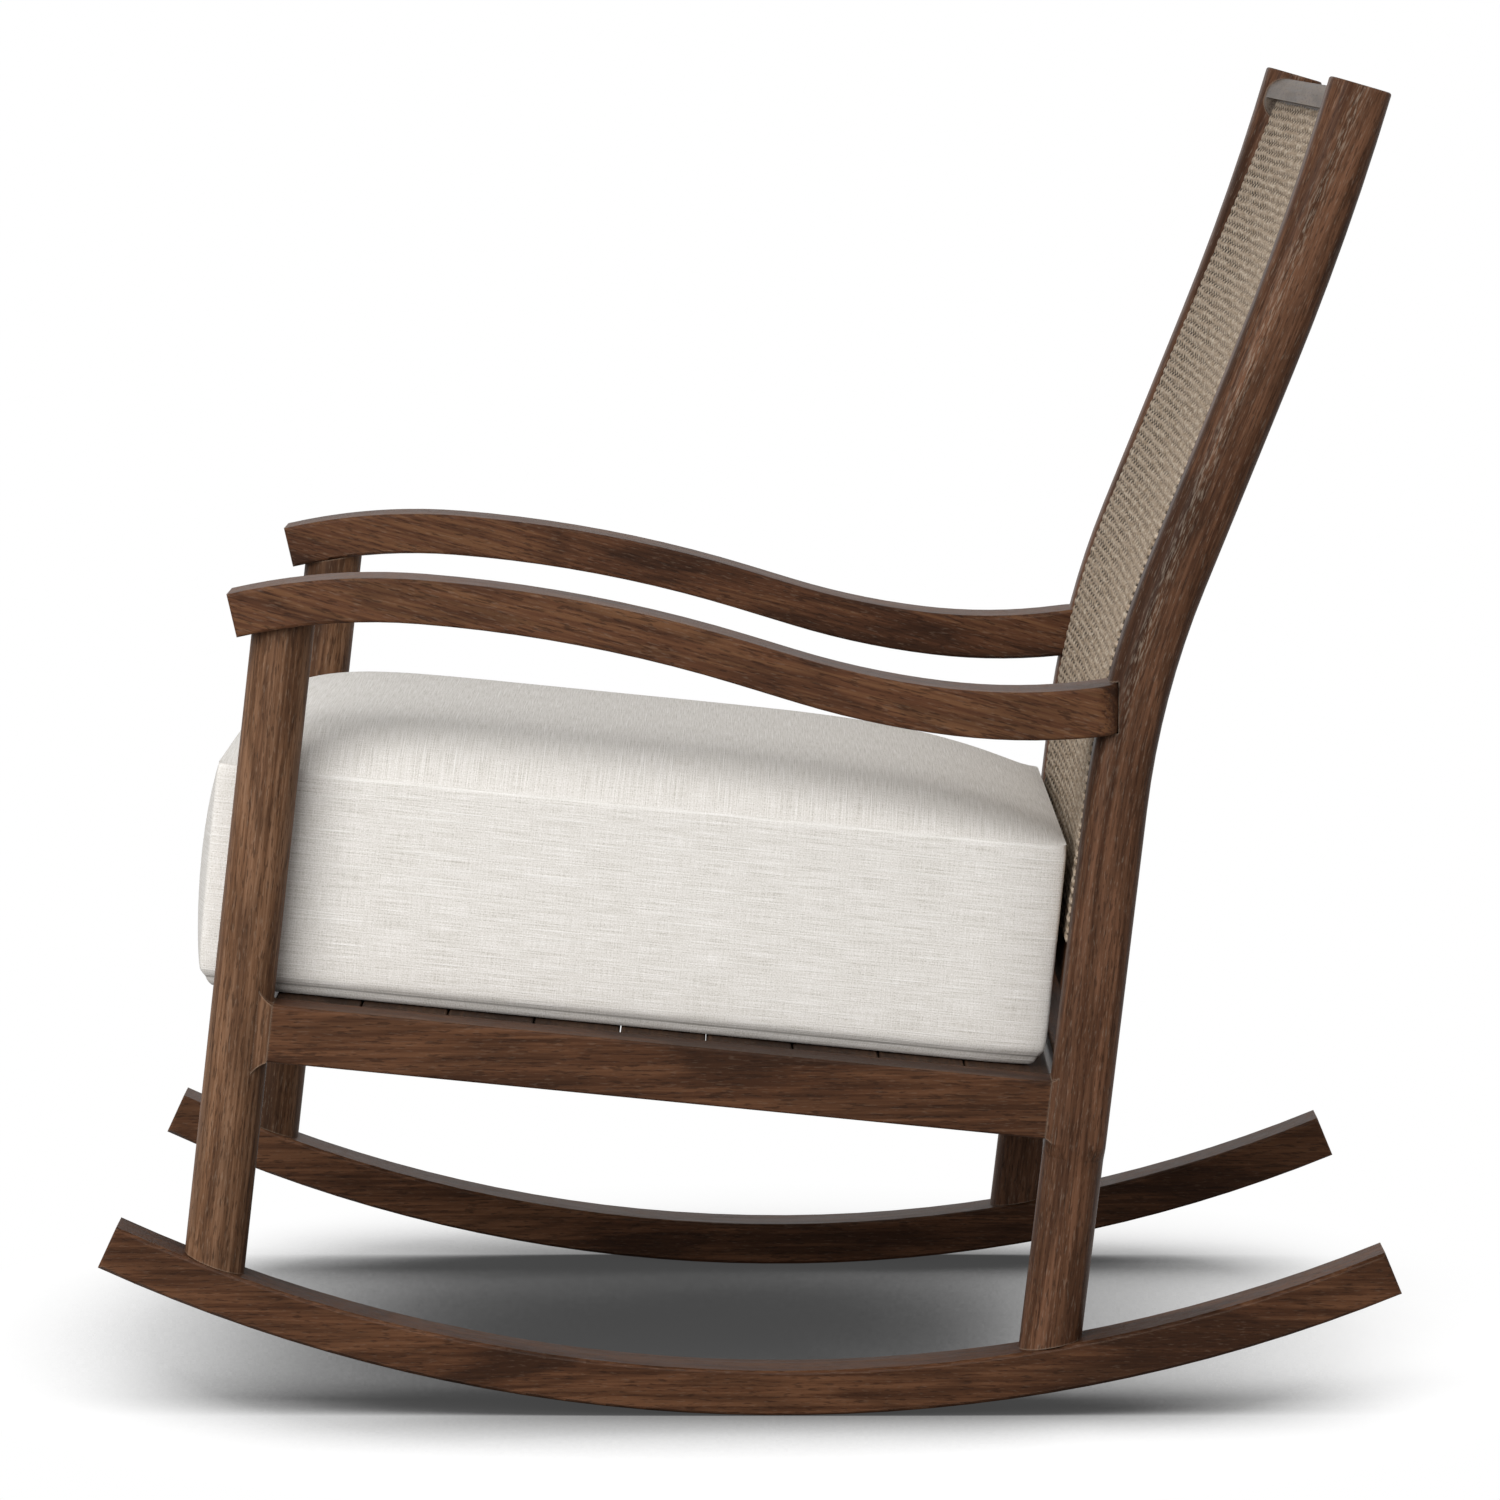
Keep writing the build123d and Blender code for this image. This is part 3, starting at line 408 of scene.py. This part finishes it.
def twisted_cord():
    """Twisted beige paper cord woven over and under in close turns: pale crests, painted shade in a small
    slot where a turn dips under between two crests, painted shade between the turns and in the notches at
    the panel's edges, and tones that drift from turn to turn."""
    made = material("twisted_paper_cord")
    uv = add(made, "UVMap", uv_map="cord")
    split = add(made, "SeparateXYZ", {"Vector": (uv, 0)})
    across = add(made, "Math", {0: (split, "X")}, operation="MULTIPLY", i1=0.1 / STITCH)
    up = add(made, "Math", {0: (split, "Y")}, operation="MULTIPLY", i1=0.1 / ROW)
    number = add(made, "Math", {0: (up, 0)}, operation="FLOOR")
    offset = add(made, "Math", {0: (number, 0)}, operation="MULTIPLY", i1=0.5)
    stitch = add(made, "Math", {0: (across, 0), 1: (offset, 0)}, operation="ADD")
    wobble = add(made, "TexNoise", {"Vector": (uv, 0)}, Scale=9.0, Detail=2.0)
    little = add(made, "MapRange", {"Value": (wobble, 0)}, i1=0.0, i2=1.0, i3=-0.15, i4=0.15)
    moved = add(made, "Math", {0: (little, 0), 1: (stitch, 0)}, operation="ADD")
    crest = add(made, "Math", {0: (moved, 0)}, operation="PINGPONG", i1=0.5)
    v = add(made, "Math", {0: (up, 0)}, operation="PINGPONG", i1=0.5)
    # Painted shade in the slot where a turn dips under between two crests, weaker towards the near (+X)
    # side and varying from patch to patch.
    dip = add(made, "MapRange", {"Value": (crest, 0)}, i1=0.2, i2=0.34, i3=0.0, i4=1.0)
    seam = add(made, "MapRange", {"Value": (v, 0)}, i1=0.42, i2=0.2, i3=0.0, i4=1.0)
    hole = add(made, "Math", {0: (dip, 0), 1: (seam, 0)}, operation="MULTIPLY")
    patch = add(made, "Mapping", {"Vector": (uv, 0)}, Scale=(0.9, 14.3, 1.0))
    tight = add(made, "TexNoise", {"Vector": (patch, 0)}, Scale=1.0, Detail=2.0)
    open_rows = add(made, "MapRange", {"Value": (tight, 0)}, i1=0.36, i2=0.6, i3=0.45, i4=1.0)
    slot_shade_by_side = add(made, "MapRange", {"Value": (split, "X")}, i1=-1.2, i2=2.0, i3=1.0, i4=0.4)
    strength = add(made, "Math", {0: (open_rows, 0), 1: (slot_shade_by_side, 0)}, operation="MULTIPLY")
    gap = add(made, "Math", {0: (hole, 0), 1: (strength, 0)}, operation="MULTIPLY")
    stretch = add(made, "Mapping", {"Vector": (uv, 0)}, Scale=(3.0, 14.3, 1.0))
    drift = add(made, "TexNoise", {"Vector": (stretch, 0)}, Scale=1.5, Detail=3.0)
    fibre_map = add(made, "Mapping", {"Vector": (uv, 0)}, Scale=(9.0, 60.0, 1.0))
    fibre = add(made, "TexNoise", {"Vector": (fibre_map, 0)}, Scale=1.0, Detail=4.0)
    both = add(made, "Math", {0: (drift, 0), 1: (fibre, 0)}, operation="ADD")
    half = add(made, "Math", {0: (both, 0)}, operation="MULTIPLY", i1=0.5)
    tone = ramp(made, half, 0, [(0.36, "#85745f"), (0.46, "#9c8b78"), (0.54, "#ac9c8a"),
                                (0.64, "#c2b5a2")])
    # Painted shade along the lines between the turns.
    painted_turn_shade = add(made, "MapRange", {"Value": (v, 0)}, i1=0.0, i2=0.16, i3=0.3, i4=0.0)
    turn_shaded = add(made, "Mix", {"Factor": (painted_turn_shade, 0), 6: (tone, 0)}, data_type="RGBA", i7=linear("#5c4c3d"))
    dark = add(made, "Mix", {"Factor": (gap, 0), 6: (turn_shaded, 2)}, data_type="RGBA", i7=linear("#2b2119"))
    # Painted shade in the notches between the turns at the panel's two edges.
    side = add(made, "Math", {0: (split, "X")}, operation="ABSOLUTE")
    edge = add(made, "MapRange", {"Value": (side, 0)}, i1=2.6, i2=2.64, i3=0.0, i4=1.0)
    notch = add(made, "MapRange", {"Value": (v, 0)}, i1=0.12, i2=0.24, i3=0.9, i4=0.0)
    cut = add(made, "Math", {0: (edge, 0), 1: (notch, 0)}, operation="MULTIPLY")
    notch_shaded = add(made, "Mix", {"Factor": (cut, 0), 6: (dark, 2)}, data_type="RGBA", i7=linear("#1d150f"))
    twist = add(made, "MapRange", {"Value": (fibre, 0)}, i1=0.3, i2=0.7, i3=0.0, i4=0.5)
    height = add(made, "Math", {0: (twist, 0), 1: (gap, 0)}, operation="SUBTRACT")
    bump = add(made, "Bump", {"Height": (height, 0)}, Strength=0.6, Distance=0.0008)
    shader = add(made, "BsdfPrincipled", {"Base Color": (notch_shaded, 2), "Normal": (bump, 0)},
                 Roughness=0.85, Specular_IOR_Level=0.1)
    surface(made, shader)
    return made


def rebated_rail():
    """Rounded rail between the posts' tops, with a rebate along the front of its lower half
    that takes the cord."""
    length = RAIL[1].x - RAIL[0].x
    deselect()
    bpy.ops.mesh.primitive_cube_add(size=1.0, location=(0, 0, 0))
    obj = bpy.context.active_object
    obj.name = "rebated_top_rail"
    bpy.ops.object.mode_set(mode="EDIT")
    bpy.ops.transform.resize(value=(length, RAIL_DEPTH, RAIL_HEIGHT))
    bm = bmesh.from_edit_mesh(obj.data)
    for edge in bm.edges:
        edge.select_set(edge.calc_length() > length / 2)
    bmesh.update_edit_mesh(obj.data)
    bpy.ops.mesh.bevel(offset=RAIL_ROUND, segments=8)
    bpy.ops.object.mode_set(mode="OBJECT")
    deselect()
    bpy.ops.mesh.primitive_cube_add(size=1.0, location=(0, 0, 0))
    cutter = bpy.context.active_object
    deep = RAIL_DEPTH / 2 - REBATE_FLOOR + 5.0 * MM
    tall = RAIL_HEIGHT / 2 + REBATE_TOP + 5.0 * MM
    cutter.scale = (2 * WEAVE[1].x - 4.0 * MM, deep, tall)
    cutter.location = (0, -REBATE_FLOOR - deep / 2, REBATE_TOP - tall / 2)
    apply(obj, "BOOLEAN", object=cutter, operation="DIFFERENCE", solver="EXACT")
    bpy.data.objects.remove(cutter)
    middle = (RAIL[0] + RAIL[1]) / 2
    lean = Matrix.Rotation(-radians(RAIL_LEAN), 4, "X")
    obj.data.transform(Matrix.Translation(middle) @ lean)
    smooth(obj, 30)
    return obj


top_rail = rebated_rail()
# The top rail's grey-brown tones are a painted sheen.
top_rail.data.materials.append(
    stained_wood("hardwood_with_painted_sheen", along_x, (0.9, 0.4, 0.6), RAIL_SHEEN_TONES, 0.45))
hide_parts("top_back_rail")
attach(top_rail, "chair")

weave = woven_back()
weave.data.materials.append(twisted_cord())
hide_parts("woven_back")
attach(weave, "chair")


# ------------------------------------------------------------------ seat cushion
HALF_WIDTH = 266.0 * MM      # to the seams, in the middle of each side
HALF_LENGTH = 312.5 * MM
TOP_SEAM = 166.0 * MM        # heights of the band's two seams over the deck
LOW_SEAM = 6.6 * MM
LIP_INSET = 7.0 * MM         # how far the cover turns in below the lower seam
CORNER = 8.0 * MM
COVER_GRID = 6.0 * MM
SEAM_REACH = 4.0 * MM        # what lies this near the top seam is drawn onto it
SEAM_HOLD = 7.0 * MM         # what lies this near a seam is held while the cover fills
SEAM_WIDTH = 4.0 * MM
LOW_SEAM_DEPTH = 2.0 * MM
TOP_SEAM_DEPTH = 0.5 * MM
FILL_FRAMES = 20
DECK_CLEAR = 0.6 * MM
LOW_TUCK = 2.5 * MM          # pull of the band towards the lower seam
LOW_TUCK_HEIGHT = 30.0 * MM
BACK_TUCK = 7.0 * MM         # pull of both sides towards the back corners
BACK_TUCK_LENGTH = 55.0 * MM
CROWN = 36.0 * MM            # rise of the top's middle over its seam, before it is filled
CROWN_SWELL = 6.0 * MM       # most that filling adds to the top, the band and the front
BAND_SWELL = 4.0 * MM
FRONT_SWELL = 16.0 * MM
CUSHION_BACK = 276.0 * MM    # middle of the cushion, behind the middle of the front legs
DECK_START = Vector((0.0, -369.37, 304.62)) * MM


def cover_rise(x, y):
    """Share of the crown at a spot of the top: full at the front, softer at the back."""
    side = 1 - min(1.0, abs(x) / HALF_WIDTH) ** 7
    length = 1 - min(1.0, abs(y) / HALF_LENGTH) ** (8 if y < 0 else 4)
    return side * length


def crisp_seam(obj):
    """Draws the cover's top edge out to its sharp line and creases it there."""
    on_seam = set()
    for vertex in obj.data.vertices:
        out = Vector((abs(vertex.co.x) - HALF_WIDTH, abs(vertex.co.y) - HALF_LENGTH))
        out += Vector((CORNER, CORNER))
        away = Vector((max(out.x, 0.0), max(out.y, 0.0)))
        short = CORNER - away.length if away.length > 0 else CORNER - max(out.x, out.y)
        if short < SEAM_REACH and abs(vertex.co.z - TOP_SEAM) < SEAM_REACH:
            on_seam.add(vertex.index)
            push = away.normalized() * short
            vertex.co.x += push.x * (1 if vertex.co.x > 0 else -1)
            vertex.co.y += push.y * (1 if vertex.co.y > 0 else -1)
            vertex.co.z = TOP_SEAM
    crease = obj.data.attributes.new("crease_edge", "FLOAT", "EDGE")
    for edge in obj.data.edges:
        if edge.vertices[0] in on_seam and edge.vertices[1] in on_seam:
            crease.data[edge.index].value = 0.9


def cut_cover():
    """The cover as it is cut and sewn: a band with rounded corners under a crowned top."""
    deselect()
    bpy.ops.mesh.primitive_cube_add(size=1.0, location=(0, 0, 0))
    obj = bpy.context.active_object
    obj.name = "seat_cushion_cover"
    bpy.ops.object.mode_set(mode="EDIT")
    bpy.ops.transform.resize(value=(2 * HALF_WIDTH, 2 * HALF_LENGTH, TOP_SEAM))
    bpy.ops.transform.translate(value=(0, 0, TOP_SEAM / 2))
    bm = bmesh.from_edit_mesh(obj.data)
    for edge in bm.edges:
        edge.select_set(abs(edge.verts[0].co.z - edge.verts[1].co.z) > TOP_SEAM / 2)
    bmesh.update_edit_mesh(obj.data)
    bpy.ops.mesh.bevel(offset=CORNER, segments=5)
    bpy.ops.object.mode_set(mode="OBJECT")
    apply(obj, "REMESH", mode="VOXEL", voxel_size=COVER_GRID)
    crisp_seam(obj)
    rest = obj.data.attributes.new("rest", "FLOAT_VECTOR", "POINT")
    for vertex in obj.data.vertices:
        rest.data[vertex.index].vector = vertex.co
        share = max(0.0, vertex.co.z / TOP_SEAM) ** 8
        vertex.co.z += CROWN * share * cover_rise(vertex.co.x, vertex.co.y)
        band = max(0.0, 1 - ((vertex.co.z - TOP_SEAM / 2) / (TOP_SEAM / 2)) ** 2)
        if vertex.co.y < CORNER - HALF_LENGTH:
            middle = 1 - min(1.0, abs(vertex.co.x) / HALF_WIDTH) ** 6
            vertex.co.y -= (FRONT_SWELL - BAND_SWELL) * band**0.7 * middle
        inset = LIP_INSET * min(1.0, max(0.0, 1 - vertex.co.z / LOW_SEAM))
        inset += LOW_TUCK * max(0.0, 1 - vertex.co.z / LOW_TUCK_HEIGHT) ** 2
        from_back = HALF_LENGTH - vertex.co.y
        tuck = BACK_TUCK * max(0.0, 1 - from_back / BACK_TUCK_LENGTH) ** 2
        vertex.co.x *= 1 - (inset + tuck) / HALF_WIDTH
        vertex.co.y *= 1 - inset / HALF_LENGTH
    return obj


def from_seam(place):
    """How far a spot of the cover lies from the nearer of its two seams."""
    inside = max(0.0, min(HALF_WIDTH - abs(place.x), HALF_LENGTH - abs(place.y)))
    above = abs(place.z - TOP_SEAM)
    below = abs(place.z - LOW_SEAM)
    return (min(above, below) ** 2 + inside**2) ** 0.5


def fill(obj):
    """Fills the cover by pressure between its seams, which hold their line."""
    mesh = obj.data
    before = [v.co.copy() for v in mesh.vertices]
    rest = mesh.attributes["rest"].data
    held = obj.vertex_groups.new(name="seams")
    for vertex in mesh.vertices:
        if from_seam(rest[vertex.index].vector) < SEAM_HOLD:
            held.add([vertex.index], 1.0, "REPLACE")
    only(obj)
    cloth = obj.modifiers.new("fill", "CLOTH")
    cloth.settings.quality = 6
    cloth.settings.mass = 0.3
    cloth.settings.vertex_group_mass = held.name
    cloth.settings.use_pressure = True
    cloth.settings.uniform_pressure_force = 4.0
    cloth.settings.tension_stiffness = 40.0
    cloth.settings.compression_stiffness = 40.0
    cloth.settings.bending_stiffness = 10.0
    cloth.settings.effector_weights.gravity = 0.0
    cloth.collision_settings.use_collision = False
    cloth.point_cache.frame_start = 1
    cloth.point_cache.frame_end = FILL_FRAMES
    for number in range(1, FILL_FRAMES + 1):
        scene.frame_set(number)
    bpy.ops.object.modifier_apply(modifier=cloth.name)
    scene.frame_set(1)
    mesh = obj.data
    rest = mesh.attributes["rest"].data
    for vertex, old in zip(mesh.vertices, before):
        travel = vertex.co - old
        top = rest[vertex.index].vector.z > TOP_SEAM - 1.0 * MM
        cap = CROWN_SWELL if top else BAND_SWELL
        size = travel.length
        if size > 0:
            vertex.co = old + travel * (cap * (1 - exp(-size / cap)) / size)
    obj.vertex_groups.clear()


def settle(obj):
    """Flat where it rests on the slats."""
    for vertex in obj.data.vertices:
        vertex.co.z = max(vertex.co.z, 0.0)


def sew(obj):
    """Draws the cover in along its two seams, the lower one deeper."""
    mesh = obj.data
    rest = mesh.attributes["rest"].data
    normals = [v.normal.copy() for v in mesh.vertices]
    for vertex, normal in zip(mesh.vertices, normals):
        gap = from_seam(rest[vertex.index].vector)
        low = rest[vertex.index].vector.z < TOP_SEAM / 2
        deep = LOW_SEAM_DEPTH if low else TOP_SEAM_DEPTH
        vertex.co -= normal * deep * exp(-((gap / SEAM_WIDTH) ** 2))


def lay_threads(obj):
    """UVs in decimetres that follow the cloth: across and along each panel of the cover."""
    mesh = obj.data
    rest = mesh.attributes["rest"].data
    threads = mesh.uv_layers.new(name="threads")
    for polygon in mesh.polygons:
        places = [rest[i].vector for i in polygon.vertices]
        low = [min(p[axis] for p in places) for axis in range(3)]
        high = [max(p[axis] for p in places) for axis in range(3)]
        spread = [high[axis] - low[axis] for axis in range(3)]
        flat = spread.index(min(spread))
        across, along = ((1, 2), (0, 2), (0, 1))[flat]
        for loop in polygon.loop_indices:
            place = rest[mesh.loops[loop].vertex_index].vector
            threads.data[loop].uv = (place[across] / 0.1, place[along] / 0.1)


def seat_cushion():
    obj = cut_cover()
    fill(obj)
    settle(obj)
    apply(obj, "SUBSURF", levels=1, render_levels=1)
    sew(obj)
    lay_threads(obj)
    turn = Matrix.Rotation(-radians(SEAT_PITCH), 4, "X")
    middle = DECK_START + turn @ Vector((0.0, CUSHION_BACK, DECK_CLEAR))
    obj.data.transform(Matrix.Translation(middle) @ turn)
    smooth(obj, 60)
    return obj


def linen():
    """Ivory linen-look cloth: slubby threads both ways, matt, with a painted highlight along the
    top seam and a darker line along the lower seam."""
    made = material("ivory_linen")
    uv = add(made, "UVMap", uv_map="threads")
    weft_map = add(made, "Mapping", {"Vector": (uv, 0)}, Scale=(2.6, 110.0, 1.0))
    warp_map = add(made, "Mapping", {"Vector": (uv, 0)}, Scale=(110.0, 6.0, 1.0))
    slub_map = add(made, "Mapping", {"Vector": (uv, 0)}, Scale=(1.1, 60.0, 1.0), Location=(3.1, 7.7, 0))
    weft = add(made, "TexNoise", {"Vector": (weft_map, 0)}, Scale=1.0, Detail=2.0, Roughness=0.5)
    warp = add(made, "TexNoise", {"Vector": (warp_map, 0)}, Scale=1.0, Detail=2.0, Roughness=0.5)
    slub = add(made, "TexNoise", {"Vector": (slub_map, 0)}, Scale=1.0, Detail=1.0)
    nubs = add(made, "TexNoise", {"Vector": (uv, 0)}, Scale=90.0, Detail=2.0)
    crossed = add(made, "Math", {0: (warp, 0), 2: (weft, 0)}, operation="MULTIPLY_ADD", i1=0.5)
    all_threads = add(made, "Math", {0: (crossed, 0), 1: (nubs, 0)}, operation="ADD")
    third = add(made, "Math", {0: (all_threads, 0)}, operation="MULTIPLY", i1=1 / 2.5)
    tone = ramp(made, third, 0, [(0.36, "#bbb6ae"), (0.46, "#d5d1ca"), (0.54, "#dfdbd6"),
                                 (0.64, "#efece8")])
    raised = add(made, "MapRange", {"Value": (slub, 0)}, i1=0.6, i2=0.74, i3=0.0, i4=0.5)
    slubbed = add(made, "Mix", {"Factor": (raised, 0), 6: (tone, 0)}, data_type="RGBA",
                  i7=linear("#f2f0ec"))
    rest = add(made, "Attribute", attribute_name="rest")
    parts = add(made, "SeparateXYZ", {"Vector": (rest, "Vector")})
    # A painted highlight along the top seam.
    high = add(made, "Math", {0: (parts, "Z")}, operation="SUBTRACT", i1=TOP_SEAM - 2.0 * MM)
    off = add(made, "Math", {0: (high, 0)}, operation="ABSOLUTE")
    seam_highlight = add(made, "MapRange", {"Value": (off, 0)}, i1=0.5 * MM, i2=1.4 * MM, i3=0.3, i4=0.0)
    seam_highlit = add(made, "Mix", {"Factor": (seam_highlight, 0), 6: (slubbed, 2)}, data_type="RGBA",
                i7=linear("#f4f2ee"))
    low = add(made, "Math", {0: (parts, "Z")}, operation="SUBTRACT", i1=LOW_SEAM)
    near = add(made, "Math", {0: (low, 0)}, operation="ABSOLUTE")
    crease = add(made, "MapRange", {"Value": (near, 0)}, i1=0.5 * MM, i2=1.2 * MM, i3=0.6, i4=0.0)
    sewn = add(made, "Mix", {"Factor": (crease, 0), 6: (seam_highlit, 2)}, data_type="RGBA",
               i7=linear("#77736d"))
    height = add(made, "Math", {0: (third, 0), 1: (raised, 0)}, operation="ADD")
    bump = add(made, "Bump", {"Height": (height, 0)}, Strength=0.5, Distance=0.0006)
    shader = add(made, "BsdfPrincipled", {"Base Color": (sewn, 2), "Normal": (bump, 0)},
                 Roughness=0.9, Specular_IOR_Level=0.12, Sheen_Weight=0.1, Sheen_Roughness=0.5)
    surface(made, shader)
    return made


cushion = seat_cushion()
cushion.data.materials.append(linen())
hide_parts("seat_cushion")
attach(cushion, "cushion")


# ------------------------------------------------------------------ floor, light, camera
SKY_STRENGTH = 0.42
LIGHT_AIM = (0, 0, 0.45)
CAMERA_PITCH = 6.36707       # degrees down


def pale_floor():
    """A plain white floor. Seen by camera and glossy rays it carries a painted shadow, darkening softly
    where the chair stands close over it, and it fades into the backdrop further out."""
    made = material("white_floor")
    path = add(made, "LightPath")
    place = add(made, "TexCoord")
    oval = add(made, "Mapping", {"Vector": (place, "Object")}, Scale=(1 / 0.66, 1 / 0.66, 1.0))
    far = add(made, "VectorMath", {0: (oval, 0)}, operation="LENGTH")
    fade = add(made, "MapRange", {"Value": (far, "Value")}, i1=0.7, i2=1.0, i3=0.0, i4=1.0)
    # Painted shadow: ambient occlusion darkens the floor's colour and glow where the chair stands close
    # over it.
    open_sky = add(made, "AmbientOcclusion", samples=24, Distance=0.5)
    light = add(made, "MapRange", {"Value": (open_sky, "AO")}, i1=0.39, i2=0.86, i3=0.0, i4=1.0)
    deep = add(made, "Math", {0: (light, 0)}, operation="POWER", i1=1.25)
    shade = add(made, "MapRange", {"Value": (deep, 0)}, i1=0.0, i2=1.0, i3=0.075, i4=1.0)
    painted_floor_shadow = add(made, "CombineXYZ", {"X": (shade, 0), "Y": (shade, 0), "Z": (shade, 0)})
    plain = add(made, "BsdfDiffuse", Color=linear("#8c8c8c"))
    matt = add(made, "BsdfDiffuse", {"Color": (painted_floor_shadow, 0)})
    glow = add(made, "Emission", {"Color": (painted_floor_shadow, 0)}, Strength=1.45)
    near = add(made, "MixShader", {1: (matt, 0), 2: (glow, 0)}, i0=0.5)
    white = add(made, "Emission", Color=(1, 1, 1, 1), Strength=1.0)
    shown = add(made, "MixShader", {0: (fade, 0), 1: (near, 0), 2: (white, 0)})
    seen = add(made, "Math", {0: (path, "Is Camera Ray"), 1: (path, "Is Glossy Ray")},
               operation="MAXIMUM")
    final = add(made, "MixShader", {0: (seen, 0), 1: (plain, 0), 2: (shown, 0)})
    surface(made, final)
    return made


deselect()
bpy.ops.mesh.primitive_plane_add(size=30.0, location=(0, 0, 0))
floor = bpy.context.active_object
floor.name = "floor"
floor.data.materials.append(pale_floor())

# A plain white backdrop where it is seen, and a softer white sky for all other light.
world = bpy.data.worlds.new("studio")
scene.world = world
world.use_nodes = True
world.node_tree.nodes.clear()
ray = add(world, "LightPath")
straight = add(world, "Math", {0: (ray, "Is Camera Ray"), 1: (ray, "Is Glossy Ray")},
               operation="MAXIMUM")
seen_white = add(world, "Math", {0: (straight, 0), 1: (ray, "Is Transmission Ray")},
                 operation="MAXIMUM")
sky = add(world, "Background", Color=(1, 1, 1, 1), Strength=SKY_STRENGTH)
backdrop = add(world, "Background", Color=(1, 1, 1, 1), Strength=1.0)
blend = add(world, "MixShader", {0: (seen_white, 0), 1: (sky, 0), 2: (backdrop, 0)})
add(world, "OutputWorld", {"Surface": (blend, 0)})


def lamp(name, place, aim, size, watts):
    data = bpy.data.lights.new(name, "AREA")
    data.size = size
    data.energy = watts
    obj = bpy.data.objects.new(name, data)
    scene.collection.objects.link(obj)
    obj.location = place
    obj.rotation_euler = (Vector(aim) - Vector(place)).to_track_quat("-Z", "Y").to_euler()


lamp("softbox_key", (3.31, -1.47, 2.14), LIGHT_AIM, 2.9, 160.0)
lamp("softbox_top", (0.3, 0, 3.2), LIGHT_AIM, 2.6, 8.0)

lens = bpy.data.cameras.new("camera")
lens.sensor_width = 36.0
lens.lens = 162.8
lens.dof.use_dof = False
lens.clip_end = 60.0
camera = bpy.data.objects.new("camera", lens)
scene.collection.objects.link(camera)
camera.location = (5.18978, 0.0, 1.03279)
tilt = radians(CAMERA_PITCH)
camera.rotation_euler = Vector((-cos(tilt), 0, -sin(tilt))).to_track_quat("-Z", "Y").to_euler()
scene.camera = camera

scene.view_settings.view_transform = "Standard"
